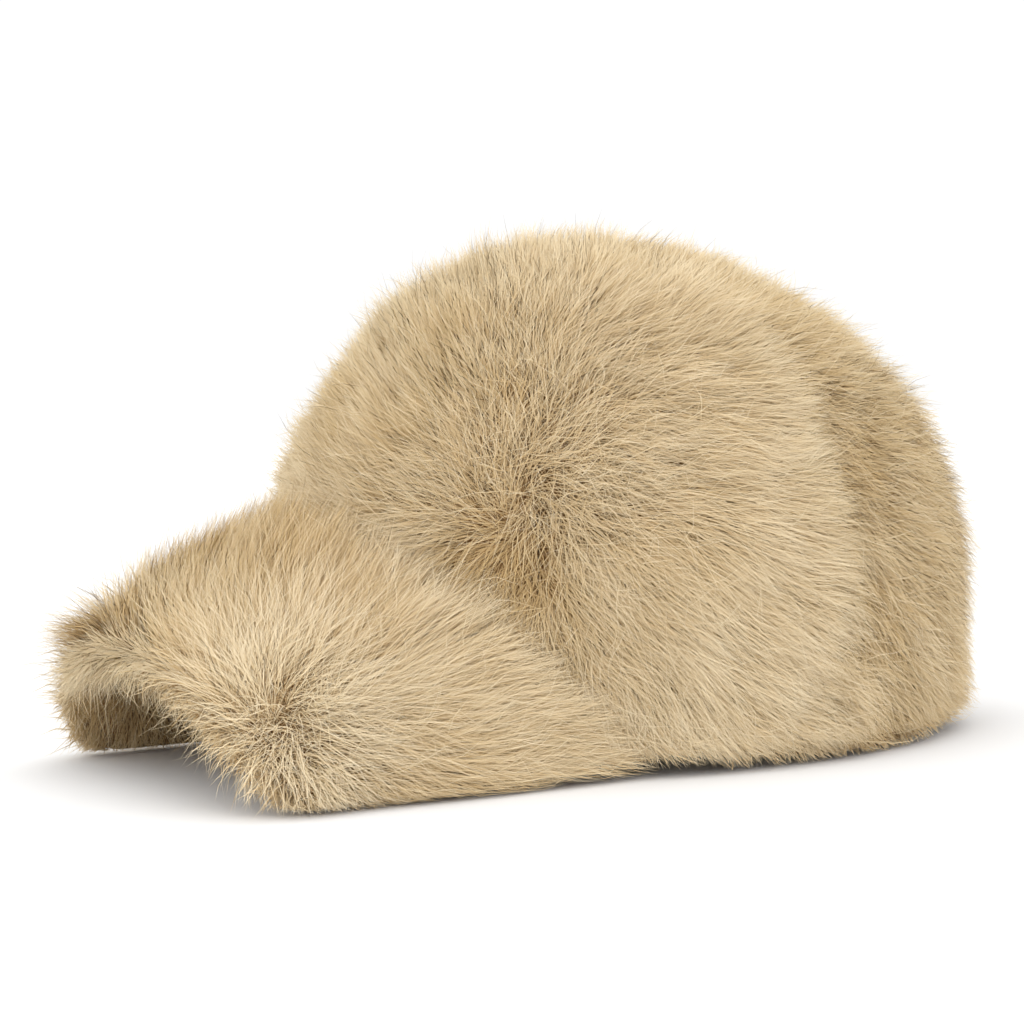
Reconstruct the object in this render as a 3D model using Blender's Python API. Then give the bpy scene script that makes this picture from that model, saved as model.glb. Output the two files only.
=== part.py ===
"""Plush baseball cap with deep fur: five crown panels and an arched, padded brim.

The cap rests on its own rim and on the two side edges of the brim. The brim points to -Y, the
wearer's left is +X and the crown opens downwards. Each piece is a thin backing whose outer face
carries the fur as pointed locks, one lock for every cell of the backing. All measures below are
in millimetres and are turned into metres when a mesh is made.
"""
import math

import bpy
import numpy as np

MM = 0.001

# Crown
CROWN_HALF_WIDTH = 88.0      # inside of the backing, left to right
CROWN_HALF_LENGTH = 99.5     # inside of the backing, front to back
CROWN_HEIGHT = 143.0         # inside of the backing at the top, above the floor
KNEE_HEIGHT = 43.0           # the wall is upright up to here and domed above
DOME_RADIUS = 100.0          # mean radius of the dome, for sharing out the way from rim to top
APEX_FORWARD = 13.0          # how far the top of the dome leans towards the brim
RIM_FRONT = 66.0             # height of the brim seam at the middle of the front
RIM_SIDE = 7.0               # height of the rim where the brim's seam ends
RIM_LOW = 2.0                # height of the rim behind the wearer's ears
RIM_BACK = 5.0               # height of the rim at the middle of the back
RIM_LOW_COSINE = -0.3        # cosine of the angle from the front at which the rim is lowest
RIM_SIDE_COSINE = 0.5        # cosine of the angle by which the rim has its height at the side
RIM_FULLNESS = 0.55          # how boxy the brim seam is, 0.5 being an ellipse
BACKING = 2.0                # thickness of the plush's backing
SEAM_GAP = 0.3               # space between neighbouring pieces

# Brim
BRIM_SEAM_ANGLE = math.radians(62.0)  # half angle of the seam, seen from above
BRIM_HALF_WIDTH = 83.0       # side edge of the brim from the middle
BRIM_TIP = 158.0             # front edge of the brim from the crown's axis
BRIM_SIDE_END = 134.0        # where the side edge starts to round into the front edge
BRIM_LENGTH = 60.0           # way from the seam to the front edge, along the middle
BRIM_CORNER = 3.4            # how boxy the front corners are
BRIM_TIP_HEIGHT = 40.0       # top of the arch at the front edge
BRIM_EDGE_HEIGHT = 0.5       # side edge above the floor
BRIM_ARCH = 1.15             # fullness of the arch, 1 being half an ellipse
BRIM_THICKNESS = 5.0         # padded board without its fur
BRIM_TAPER = 6.0             # how late the board thins out towards its edges
BRIM_UPRIGHT_SHARE = 0.3     # share of the length in which its thickness turns from plumb to square
BRIM_SEAM_STRIP = 5.0        # bare strip along the seam

# Fur
FUR_CROWN = 14.5             # standing height of the crown's locks, with the backing
FUR_BRIM_TOP = 17.0          # standing height of the locks on top of the brim
FUR_BRIM_UNDER = 8.0         # standing height of the locks under the brim
LOCK_HEIGHTS = (0.88, 1.08)  # shortest and tallest lock, as shares of the standing height
RIM_ROW = 0.75               # height of the locks along the rim, as a share of the others
LEAN = 0.70                  # how far a lock is combed along the surface, as a share of its height
LEAN_CURVE = 1.3             # above 1 a lock leans more towards its tip
RING_HEIGHT = 0.60           # a lock's waist, as a share of its height
RING_SIZE = 0.83             # width of the waist, as a share of the lock's foot
JITTER = 0.16                # irregular feet, as a share of a cell
FLOOR_SOFTNESS = 2.0         # locks flatten out within this height above the floor

# Crest: the locks of the brim's first row, taller over the middle than beside the crown
CREST_HEIGHT = 1.15          # in the middle, as a share of the others
CREST_FALL = 0.6             # how much lower they are at the sides
CREST_HALF_WIDTH = 0.45      # where they start to fall, as a share of half the brim's width
CREST_FALL_WIDTH = 0.3       # how soon they have fallen, as the same share

# Combing
COMB_START = -95.0           # the crown's fur starts to turn back this far along y
COMB_TURN = 150.0            # and has turned this much further back
COMB_DOWN_START = 115.0      # the fur at the back starts to turn down at this height
COMB_DOWN_TURN = 80.0        # and has turned this much lower
COMB_FRONT_CLIMB = 0.9       # climb of the front's fur for each mm that it runs back
COMB_BACK_FALL = 1.1         # how much of the climb is lost towards the back
COMB_LOW_FALL = 0.9          # how much more is lost low down at the back
COMB_SHORTEST = 0.35         # where the combing meets the surface squarely, locks stand up
BRIM_SPREAD = 0.3            # how far the brim's fur turns outwards at the sides
BRIM_SPREAD_START = 25.0     # from this far off the middle
BRIM_SPREAD_WIDTH = 60.0     # and over this width
BRIM_DROOP_TOP = 0.9         # how far the fur on top hangs at the sides
BRIM_DROOP_UNDER = 0.3       # and the fur under the brim

# Grid
UPRIGHT_SHARE = 0.12         # a panel keeps its width up to this share of its height
NARROWEST = 0.05             # and no part of it counts as narrower than this
HALVING = 0.70               # cells are paired where they are narrower than this
TOP_SHARE = 0.9975           # the panels' points stop this far up, a fraction of a mm apart
NORMAL_STEP = 0.004          # parameter step from which normals are worked out
CROWN_NORMAL_END = 0.985     # normals nearer to the top are those of this place
BRIM_NORMAL_SIDE = 0.95      # normals nearer to the side edge are those of this place
BRIM_NORMAL_FRONT = 0.97     # normals nearer to the front edge are those of this place
BRIM_CELLS_FORWARD = 6       # rows of locks from the seam to the front edge
SNAP_ANGLE = math.radians(2.0)  # a rim point this near the seam's end is moved there
FRAME_FORWARD = 29.0         # the frame's origin lies this far in front of the crown's axis
SEED = 11

# name, first and last angle seen from above in degrees (0 is the front, 90 the wearer's left),
# cells along the rim, cells from rim to top, base colour (linear)
PANELS = (
    ("front_panel", -51.0, 51.0, 16, 11, (0.55, 0.40, 0.22)),
    ("side_panel_left", 51.0, 101.0, 8, 15, (0.54, 0.39, 0.21)),
    ("side_panel_right", -101.0, -51.0, 8, 15, (0.54, 0.39, 0.21)),
    ("back_panel_left", 101.0, 180.0, 12, 15, (0.52, 0.38, 0.21)),
    ("back_panel_right", -180.0, -101.0, 12, 15, (0.52, 0.38, 0.21)),
)
BRIM_COLOUR = (0.57, 0.42, 0.24)
FUR_ROUGHNESS = 0.9


def clear_scene():
    for item in list(bpy.data.objects):
        bpy.data.objects.remove(item, do_unlink=True)


def smooth(t):
    t = np.clip(t, 0.0, 1.0)
    return t * t * (3.0 - 2.0 * t)


def unit(v):
    return v / np.maximum(np.linalg.norm(v, axis=-1, keepdims=True), 1e-9)


def rim_height(theta):
    """Height of the crown's lower edge: nearly level, and arched up where the brim is sewn on."""
    cosine = np.cos(theta)
    forward = smooth((cosine - RIM_LOW_COSINE) / (RIM_SIDE_COSINE - RIM_LOW_COSINE))
    backward = smooth((RIM_LOW_COSINE - cosine) / (RIM_LOW_COSINE + 1.0))
    level = RIM_LOW + (RIM_SIDE - RIM_LOW) * forward + (RIM_BACK - RIM_LOW) * backward
    across = np.sin(theta) / math.sin(BRIM_SEAM_ANGLE)
    arch = np.clip(1.0 - across ** 2, 0.0, 1.0) ** RIM_FULLNESS
    return level + (RIM_FRONT - level) * np.where(cosine > 0.0, arch, 0.0)


def crown_point(theta, s, out=0.0):
    """Point of the crown: theta round the axis, s from the rim (0) to the top (1), out outwards."""
    rim = rim_height(theta)
    dome = CROWN_HEIGHT + out - KNEE_HEIGHT
    wall = np.maximum(KNEE_HEIGHT - rim, 0.0)
    start = np.arcsin(np.clip((rim - KNEE_HEIGHT) / dome, 0.0, 1.0))
    arc = (math.pi / 2.0 - start) * DOME_RADIUS
    along = s * (wall + arc)
    phi = start + np.maximum(along - wall, 0.0) / DOME_RADIUS
    z = np.where(along < wall, rim + along, KNEE_HEIGHT + dome * np.sin(phi))
    radius = np.cos(phi)
    x = (CROWN_HALF_WIDTH + out) * np.sin(theta) * radius
    y = -(CROWN_HALF_LENGTH + out) * np.cos(theta) * radius - APEX_FORWARD * (1.0 - radius)
    return np.stack([x, y, z], axis=-1)


def brim_top(u, q):
    """Point on top of the brim: u across (-1 to 1), q from the seam (0) to the front edge (1)."""
    across = np.sin(u * math.pi / 2.0)
    theta = np.arcsin(np.clip(across * math.sin(BRIM_SEAM_ANGLE), -1.0, 1.0))
    seam = crown_point(theta, np.zeros_like(theta), BACKING * 0.5)
    seam[..., 2] -= 2.0 * SEAM_GAP
    corner = np.clip(1.0 - np.abs(across) ** BRIM_CORNER, 0.0, 1.0) ** (1.0 / BRIM_CORNER)
    front_y = -(BRIM_SIDE_END + (BRIM_TIP - BRIM_SIDE_END) * corner)
    arch = np.clip(np.cos(u * math.pi / 2.0), 0.0, 1.0) ** BRIM_ARCH
    front_z = BRIM_EDGE_HEIGHT + (BRIM_TIP_HEIGHT - BRIM_EDGE_HEIGHT) * arch
    front = np.stack([BRIM_HALF_WIDTH * across, front_y, front_z], axis=-1)
    forward = np.stack([q, q, 1.0 - (1.0 - q) ** (1.0 + 2.0 * np.abs(u) ** 6)], axis=-1)
    return seam + (front - seam) * forward


def surface_normal(surface, a, b):
    """Unit normal of a surface of two parameters, from differences between nearby points."""
    low = np.clip(b - NORMAL_STEP, 0.0, 1.0 - 2.0 * NORMAL_STEP)
    along_a = surface(a + NORMAL_STEP, b) - surface(a - NORMAL_STEP, b)
    along_b = surface(a, low + 2.0 * NORMAL_STEP) - surface(a, low)
    return unit(np.cross(along_a, along_b))


def crown_normal(theta, s):
    return surface_normal(crown_point, theta, np.clip(s, 0.0, CROWN_NORMAL_END))


def brim_normal(u, q):
    inner_u = np.clip(u, -BRIM_NORMAL_SIDE, BRIM_NORMAL_SIDE)
    return -surface_normal(brim_top, inner_u, np.clip(q, 0.0, BRIM_NORMAL_FRONT))


def along_surface(direction, normal):
    """The part of a direction that lies in the surface, one long unless it is very short."""
    flat = direction - normal * np.sum(direction * normal, axis=-1, keepdims=True)
    return flat / np.maximum(np.linalg.norm(flat, axis=-1, keepdims=True), COMB_SHORTEST)


def crown_comb(point, normal):
    """Fur on the crown is combed backwards: up at the front, down at the sides and the back."""
    back = smooth((point[..., 1] - COMB_START) / COMB_TURN)
    low = smooth((COMB_DOWN_START - point[..., 2]) / COMB_DOWN_TURN)
    up = COMB_FRONT_CLIMB - COMB_BACK_FALL * back - COMB_LOW_FALL * back * low
    wind = np.stack([np.zeros_like(up), np.ones_like(up), up], axis=-1)
    return along_surface(wind, normal)


def brim_comb(point, normal, droop):
    """Fur on the brim is combed forwards, and droops towards the side edges."""
    side = smooth((np.abs(point[..., 0]) - BRIM_SPREAD_START) / BRIM_SPREAD_WIDTH)
    spread = BRIM_SPREAD * np.sign(point[..., 0]) * side
    wind = np.stack([spread, -np.ones_like(side), -droop * side], axis=-1)
    return along_surface(wind, normal)


def floor_soft(points):
    """Flatten what comes near the floor; heights above the soft layer stay as they are."""
    z = points[..., 2]
    low = FLOOR_SOFTNESS * np.exp(np.minimum(z, FLOOR_SOFTNESS) / FLOOR_SOFTNESS - 1.0)
    soft = points.copy()
    soft[..., 2] = np.where(z < FLOOR_SOFTNESS, low, z)
    return soft


class Shell:
    """A closed mesh put together from point lists and polygons."""

    def __init__(self):
        self.points = []
        self.faces = []

    def add(self, points):
        first = len(self.points)
        self.points.extend(np.asarray(points, dtype=float).reshape(-1, 3))
        return first

    def face(self, *loop):
        self.faces.append(tuple(loop))

    def lock(self, loop, normal, comb, height):
        """Raise a pointed lock over one polygon of the outer face."""
        lean = height * LEAN
        foot = np.array([self.points[i] for i in loop])
        middle = foot.mean(axis=0)
        rise = normal * height * RING_HEIGHT + comb * lean * RING_HEIGHT ** LEAN_CURVE
        ring = self.add(middle + (foot - middle) * RING_SIZE + rise)
        tip = self.add(middle + normal * height + comb * lean)
        count = len(loop)
        for i in range(count):
            j = (i + 1) % count
            self.face(loop[i], loop[j], ring + j, ring + i)
            self.face(ring + i, ring + j, tip)

    def build(self, name, colour):
        points = floor_soft(np.array(self.points))
        points[:, 1] += FRAME_FORWARD
        mesh = bpy.data.meshes.new(name)
        mesh.from_pydata((points * MM).tolist(), [], self.faces)
        mesh.update()
        mesh.shade_smooth()
        item = bpy.data.objects.new(name, mesh)
        bpy.context.scene.collection.objects.link(item)
        mesh.materials.append(make_material(name, colour))


def make_material(name, colour):
    material = bpy.data.materials.new(name + "_fur")
    material.use_nodes = True
    shader = material.node_tree.nodes["Principled BSDF"]
    shader.inputs["Base Color"].default_value = (*colour, 1.0)
    shader.inputs["Roughness"].default_value = FUR_ROUGHNESS
    shader.inputs["Metallic"].default_value = 0.0
    return material


def panel_width(s):
    """Width of a panel at s, as a share of its width at the rim."""
    narrowing = np.clip(s - UPRIGHT_SHARE, 0.0, 1.0) / (1.0 - UPRIGHT_SHARE)
    return np.maximum(np.cos(math.pi / 2.0 * narrowing), NARROWEST)


def column_counts(columns, rows):
    """Cells in each row of a panel: halved towards the top, where the panel narrows to a point."""
    counts = []
    for row in range(rows):
        count = columns
        while count % 2 == 0 and count * HALVING > columns * panel_width(row / rows):
            count //= 2
        counts.append(count)
    return counts


def rim_angles(first, last, count):
    """Angles of a panel's points along the rim, one of them where the brim's seam ends."""
    theta = np.linspace(first, last, count + 1)
    near = np.abs(np.abs(theta) - BRIM_SEAM_ANGLE) < SNAP_ANGLE
    return np.where(near, np.sign(theta) * BRIM_SEAM_ANGLE, theta)


def seam_angles():
    """Angles of the brim's points along its seam: those of the rim above it."""
    theta = [rim_angles(math.radians(row[1]), math.radians(row[2]), row[3]) for row in PANELS]
    theta = np.unique(np.round(np.concatenate(theta), 6))
    return theta[np.abs(theta) < BRIM_SEAM_ANGLE + 1e-4]


def panel_nodes(first, last, counts, rng):
    """Parameters of a panel's points, one row for each cell edge, and the point at the top."""
    rows = len(counts)
    nodes = []
    for row, count in enumerate(counts):
        s = np.full(count + 1, row / rows)
        share = (rim_angles(first, last, count) - first) / (last - first)
        if row > 0:
            s[1:-1] += rng.uniform(-JITTER, JITTER, count - 1) / rows
            share[1:-1] += rng.uniform(-JITTER, JITTER, count - 1) / count
        inset = SEAM_GAP / 2.0 / (CROWN_HALF_WIDTH * panel_width(s)) / (last - first)
        nodes.append((first + (last - first) * np.clip(share, inset, 1.0 - inset), s))
    nodes.append((np.array([(first + last) / 2.0]), np.array([TOP_SHARE])))
    return nodes


def panel_cells(counts):
    """Polygons between the rows of a panel's points, counter-clockwise seen from outside."""
    cells = []
    low = 0
    for count, upper in zip(counts, counts[1:] + [0]):
        high = low + count + 1
        if upper == count:
            cells += [(low + i, low + i + 1, high + i + 1, high + i) for i in range(count)]
        elif upper * 2 == count:
            cells += [(low + 2 * i, low + 2 * i + 1, low + 2 * i + 2, high + i + 1, high + i)
                      for i in range(upper)]
        else:
            cells += [(low + i, low + i + 1, high) for i in range(count)]
        low = high
    return cells


def border(cells):
    """Edges used by one cell only, in the direction the cell uses them."""
    used = set()
    for cell in cells:
        used.update(zip(cell, cell[1:] + cell[:1]))
    return [(a, b) for a, b in sorted(used) if (b, a) not in used]


def make_panel(name, first, last, columns, rows, colour, rng):
    first = math.radians(first)
    last = math.radians(last)
    counts = column_counts(columns, rows)
    nodes = panel_nodes(first, last, counts, rng)
    theta = np.concatenate([node[0] for node in nodes])
    s = np.concatenate([node[1] for node in nodes])
    shell = Shell()
    outer = shell.add(crown_point(theta, s, BACKING))
    inner = shell.add(crown_point(theta, s, 0.0))
    cells = panel_cells(counts)
    for number, cell in enumerate(cells):
        low_lock = number < columns and name != "front_panel"
        add_panel_cell(shell, cell, outer, theta, s, RIM_ROW if low_lock else 1.0, rng)
        shell.face(*[inner + i for i in reversed(cell)])
    for a, b in border(cells):
        shell.face(outer + b, outer + a, inner + a, inner + b)
    shell.build(name, colour)


def add_panel_cell(shell, cell, outer, theta, s, share, rng):
    """One lock of a panel, as high as its share of the standing height says."""
    middle_theta = theta[list(cell)].mean()
    middle_s = s[list(cell)].mean()
    normal = crown_normal(middle_theta, middle_s)
    comb = crown_comb(crown_point(middle_theta, middle_s, BACKING), normal)
    height = (FUR_CROWN - BACKING) * rng.uniform(*LOCK_HEIGHTS) * share
    shell.lock([outer + i for i in cell], normal, comb, height)


def brim_grid(rng):
    """Parameters of the brim's points: rows from the seam forwards, columns across."""
    u = np.sin(seam_angles()) / math.sin(BRIM_SEAM_ANGLE)
    u = np.arcsin(np.clip(np.round(u, 5), -1.0, 1.0)) * 2.0 / math.pi
    first_row = BRIM_SEAM_STRIP / BRIM_LENGTH
    q = np.concatenate([[0.0], np.linspace(first_row, 1.0, BRIM_CELLS_FORWARD + 1)])
    grid_u, grid_q = np.meshgrid(u, q)
    free = grid_u[2:-1, 1:-1].shape
    grid_u[2:-1, 1:-1] += rng.uniform(-JITTER, JITTER, free) * 2.0 / (len(u) - 1)
    grid_q[2:-1, 1:-1] += rng.uniform(-JITTER, JITTER, free) / BRIM_CELLS_FORWARD
    return grid_u, grid_q


def brim_underside(grid_u, grid_q):
    """Points under the board, and how thick it is there from 0 to 1. Along the seam the thickness
    is measured straight down, and further forwards square to the surface."""
    sides = 1.0 - np.abs(grid_u) ** BRIM_TAPER
    taper = np.sqrt(np.clip(sides * (1.0 - grid_q ** BRIM_TAPER), 0.0, 1.0))
    square = smooth(grid_q / BRIM_UPRIGHT_SHARE)[..., None]
    down = unit(np.array([0.0, 0.0, 1.0]) * (1.0 - square) + brim_normal(grid_u, grid_q) * square)
    return brim_top(grid_u, grid_q) - down * (BRIM_THICKNESS * taper)[..., None], taper


def make_brim(name, colour, rng):
    grid_u, grid_q = brim_grid(rng)
    under, taper = brim_underside(grid_u, grid_q)
    shell = Shell()
    shared = taper < 1e-6
    top_index = shell.add(brim_top(grid_u, grid_q)) + np.arange(grid_u.size).reshape(grid_u.shape)
    under_index = top_index.copy()
    under_index[~shared] = shell.add(under[~shared]) + np.arange((~shared).sum())
    add_brim_face(shell, top_index, grid_u, grid_q, 1.0, rng)
    add_brim_face(shell, under_index, grid_u, grid_q, -1.0, rng)
    for i in range(grid_u.shape[1] - 1):
        loop = [top_index[0, i], top_index[0, i + 1], under_index[0, i + 1], under_index[0, i]]
        loop = [index for k, index in enumerate(loop) if index not in loop[:k]]
        shell.face(*loop)
    shell.build(name, colour)


def add_brim_face(shell, index, grid_u, grid_q, side, rng):
    """Cells of the brim's upper (side 1) or lower (side -1) face. The strip along the seam has no
    locks, and neither has the underside next to its two side edges."""
    rows, columns = index.shape
    for row in range(rows - 1):
        for i in range(columns - 1):
            loop = [index[row, i], index[row + 1, i], index[row + 1, i + 1], index[row, i + 1]]
            if side < 0.0:
                loop.reverse()
            if row == 0 or (side < 0.0 and i in (0, columns - 2)):
                shell.face(*loop)
                continue
            middle_u = grid_u[row:row + 2, i:i + 2].mean()
            middle_q = grid_q[row:row + 2, i:i + 2].mean()
            add_brim_lock(shell, loop, middle_u, middle_q, side, row == 1, rng)


def add_brim_lock(shell, loop, u, q, side, first_row, rng):
    """One lock of the brim's upper (side 1) or lower (side -1) face."""
    normal = brim_normal(u, q)
    point = brim_top(u, np.asarray(q))
    height = rng.uniform(*LOCK_HEIGHTS)
    if side < 0.0:
        shell.lock(loop, -normal, brim_comb(point, normal, BRIM_DROOP_UNDER), height * FUR_BRIM_UNDER)
        return
    if first_row:
        height *= CREST_HEIGHT - CREST_FALL * smooth((abs(u) - CREST_HALF_WIDTH) / CREST_FALL_WIDTH)
    shell.lock(loop, normal, brim_comb(point, normal, BRIM_DROOP_TOP), height * FUR_BRIM_TOP)


def main():
    clear_scene()
    rng = np.random.default_rng(SEED)
    for name, first, last, columns, rows, colour in PANELS:
        make_panel(name, first, last, columns, rows, colour, rng)
    make_brim("brim", BRIM_COLOUR, rng)


main()
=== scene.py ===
# %% [markdown]
# # A plush baseball cap in deep fur
#
# The cap is sewn from a deep-pile plush: a knitted backing that carries long, soft hairs. Five
# panels close the crown and a padded brim is sewn to its front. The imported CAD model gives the
# shape and the size, with the fur as coarse locks. This lesson grows the fur hair by hair on the
# same surfaces, so every number of the shape below is the CAD source's own, in millimetres.

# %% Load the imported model
import math

import bpy
import numpy as np
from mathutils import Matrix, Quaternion, Vector


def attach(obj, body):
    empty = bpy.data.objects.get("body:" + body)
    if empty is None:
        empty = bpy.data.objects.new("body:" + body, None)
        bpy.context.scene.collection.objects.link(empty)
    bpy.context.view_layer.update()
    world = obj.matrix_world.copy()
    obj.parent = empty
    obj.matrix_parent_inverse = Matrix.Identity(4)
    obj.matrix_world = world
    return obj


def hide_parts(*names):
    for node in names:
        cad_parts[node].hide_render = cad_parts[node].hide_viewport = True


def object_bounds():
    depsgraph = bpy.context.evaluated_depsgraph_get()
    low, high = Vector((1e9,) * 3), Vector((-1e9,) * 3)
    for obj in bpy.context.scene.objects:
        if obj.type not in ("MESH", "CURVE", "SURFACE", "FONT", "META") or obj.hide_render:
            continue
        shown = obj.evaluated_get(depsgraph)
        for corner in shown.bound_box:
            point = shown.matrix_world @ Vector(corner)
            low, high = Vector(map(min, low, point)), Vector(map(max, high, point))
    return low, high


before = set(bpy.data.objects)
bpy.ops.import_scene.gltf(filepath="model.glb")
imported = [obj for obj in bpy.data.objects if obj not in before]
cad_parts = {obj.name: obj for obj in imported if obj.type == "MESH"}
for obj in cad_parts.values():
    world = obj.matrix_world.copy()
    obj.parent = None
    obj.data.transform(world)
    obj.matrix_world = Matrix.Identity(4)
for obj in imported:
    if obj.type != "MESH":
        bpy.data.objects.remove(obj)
cad_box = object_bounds()
MM = 0.001
print("CAD box in mm:", [[round(c / MM, 1) for c in corner] for corner in cad_box])

# %% [markdown]
# ## The shape of the cap
#
# The crown is half an egg on a short upright wall. Its lower edge is level at the sides and the
# back, and arches up at the front, where the brim is sewn on. The brim is a sheet stretched
# between that seam and its own front edge. Both are functions of two parameters, which also say
# where a hair stands and which way is outwards.

# %% The crown as a function
CROWN_HALF_WIDTH = 88.0
CROWN_HALF_LENGTH = 99.5
CROWN_HEIGHT = 143.0
KNEE_HEIGHT = 43.0
APEX_FORWARD = 13.0
RIM_FRONT = 66.0
RIM_SIDE = 7.0
RIM_LOW = 2.0
RIM_BACK = 5.0
RIM_FULLNESS = 0.55
BACKING = 2.0
SEAM_GAP = 0.3
BRIM_SEAM_ANGLE = math.radians(62.0)
DOME_RADIUS = 100.0
AXIS_FOOT = np.array([0.0, 29.0, 0.0])  # of the crown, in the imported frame


def smooth(t):
    """Ease from 0 to 1: three t squared minus two t cubed, with t kept within 0 and 1."""
    t = np.clip(t, 0.0, 1.0)
    return t * t * (3.0 - 2.0 * t)


def unit(v):
    """Vectors divided by their own lengths."""
    return v / np.maximum(np.linalg.norm(v, axis=-1, keepdims=True), 1e-9)


def dot(a, b):
    """Sum of the products along the last axis, kept as a column."""
    return np.sum(a * b, axis=-1, keepdims=True)


def rim_height(theta):
    """Height of the rim: nearly level, plus a boxy arch over the brim's seam.
    The arch is (1 - across squared) to the power of its fullness, across being -1 to 1."""
    cosine = np.cos(theta)
    level = RIM_LOW + (RIM_SIDE - RIM_LOW) * smooth((cosine + 0.3) / 0.8)
    level = level + (RIM_BACK - RIM_LOW) * smooth((-cosine - 0.3) / 0.7)
    across = np.sin(theta) / math.sin(BRIM_SEAM_ANGLE)
    arch = np.clip(1.0 - across ** 2, 0.0, 1.0) ** RIM_FULLNESS
    return level + (RIM_FRONT - level) * np.where(cosine > 0.0, arch, 0.0)


def crown(theta, s, out=BACKING):
    """Point of the crown. theta turns round the axis from the front to the wearer's left, and s
    runs from the rim (0) to the top (1): first straight up, then round an ellipse, whose angle
    counts as an arc of DOME_RADIUS. out is the distance from the inside of the backing."""
    rim = rim_height(theta)
    dome = CROWN_HEIGHT + out - KNEE_HEIGHT
    wall = np.maximum(KNEE_HEIGHT - rim, 0.0)
    start = np.arcsin(np.clip((rim - KNEE_HEIGHT) / dome, 0.0, 1.0))
    arc = (math.pi / 2.0 - start) * DOME_RADIUS
    along = s * (wall + arc)
    phi = start + np.maximum(along - wall, 0.0) / DOME_RADIUS
    z = np.where(along < wall, rim + along, KNEE_HEIGHT + dome * np.sin(phi))
    radius = np.cos(phi)
    x = (CROWN_HALF_WIDTH + out) * np.sin(theta) * radius
    y = -(CROWN_HALF_LENGTH + out) * np.cos(theta) * radius - APEX_FORWARD * (1.0 - radius)
    return np.stack([x, y, z], axis=-1)


# %% The brim as a function
BRIM_HALF_WIDTH = 83.0
BRIM_TIP = 158.0
BRIM_SIDE_END = 134.0
BRIM_CORNER = 3.4
BRIM_TIP_HEIGHT = 40.0
BRIM_EDGE_HEIGHT = 0.5
BRIM_ARCH = 1.15
BRIM_THICKNESS = 5.0


def brim(u, q):
    """Point on top of the brim: u runs across from -1 to 1, q from the seam (0) to the front (1).
    Each line of constant u goes from its place on the seam to its place on the front edge, which
    is a superellipse seen from above and half an ellipse seen from the front."""
    across = np.sin(u * math.pi / 2.0)
    theta = np.arcsin(np.clip(across * math.sin(BRIM_SEAM_ANGLE), -1.0, 1.0))
    seam = crown(theta, np.zeros_like(theta), BACKING * 0.5)
    seam[..., 2] -= 2.0 * SEAM_GAP
    corner = np.clip(1.0 - np.abs(across) ** BRIM_CORNER, 0.0, 1.0) ** (1.0 / BRIM_CORNER)
    front_y = -(BRIM_SIDE_END + (BRIM_TIP - BRIM_SIDE_END) * corner)
    arch = np.clip(np.cos(u * math.pi / 2.0), 0.0, 1.0) ** BRIM_ARCH
    front_z = BRIM_EDGE_HEIGHT + (BRIM_TIP_HEIGHT - BRIM_EDGE_HEIGHT) * arch
    front = np.stack([BRIM_HALF_WIDTH * across, front_y, front_z], axis=-1)
    forward = np.stack([q, q, 1.0 - (1.0 - q) ** (1.0 + 2.0 * np.abs(u) ** 6)], axis=-1)
    return seam + (front - seam) * forward


def side_taper(u, q):
    """Share of the brim's thickness: the root of (1 - u to the 6th) times (1 - q to the 6th)."""
    return np.sqrt(np.clip((1.0 - np.abs(u) ** 6) * (1.0 - q ** 6), 0.0, 1.0))


def differences(surface, a, b, step=0.004):
    """How far the surface moves along a and along b, from points a small step to either side. The
    two points along b stay within 0 and 1."""
    low = np.clip(b - step, 0.0, 1.0 - 2.0 * step)
    along_a = (surface(a + step, b) - surface(a - step, b)) / (2.0 * step)
    along_b = (surface(a, low + 2.0 * step) - surface(a, low)) / (2.0 * step)
    return along_a, along_b


def crown_normal(theta, s):
    """Outward normal of the crown: the two directions' cross product."""
    along_a, along_b = differences(crown, theta, np.clip(s, 0.0, 0.985))
    return unit(np.cross(along_a, along_b))


def brim_normal(u, q):
    """Upward normal of the brim, from the same cross product turned over."""
    along_a, along_b = differences(brim, np.clip(u, -0.95, 0.95), np.clip(q, 0.0, 0.97))
    return unit(np.cross(along_b, along_a))


print("Top of the crown's skin:", crown(np.array(0.0), np.array(1.0)).round(1))

# %% [markdown]
# ## Panels
#
# The seams of the crown run from the rim to the top, and each panel of plush is a strip between
# two angles. The rows below repeat the CAD model's own panels and say how many hairs each gets,
# roughly in proportion to its area.

# %% The panels' places
PANELS = (
    # name, first angle, last angle (degrees), group of combing marks, hairs, shift of the tint
    ("front_panel", -51.0, 51.0, "front", 38000, 0.0),
    ("side_panel_left", 51.0, 101.0, "side", 32000, 0.0),
    ("side_panel_right", -101.0, -51.0, "side", 32000, 0.0),
    # The back panels' tint is lowered by a painted shade, as the side turned away from the light.
    ("back_panel_left", 101.0, 180.0, "back", 45000, -0.18),
    ("back_panel_right", -180.0, -101.0, "back", 45000, -0.18),
)
BRIM_HAIRS_TOP = 42000
BRIM_HAIRS_UNDER = 10000
BRIM_HAIRS_EDGE = 9000

# %% [markdown]
# ## Combing marks
#
# Real plush is never combed one way all over. At the front of the crown it stands up, on the
# sides it lies back and down, and on the brim it is brushed back from a whorl near the front
# corner. Where two sweeps meet it parts and shows its darker roots. Each row is one look at the fur
# at one place: which way it lies, how steeply it rises from the skin, how untidy and how deep it
# is. The direction between the marks is their weighted mean, the weight falling with the fourth
# power of the distance. The brim's rows are mirrored to its far half, apart from those on the lip,
# where q is at least LIP: the far end of the lip is combed forwards and has rows of its own, whose
# u is negative.

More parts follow.
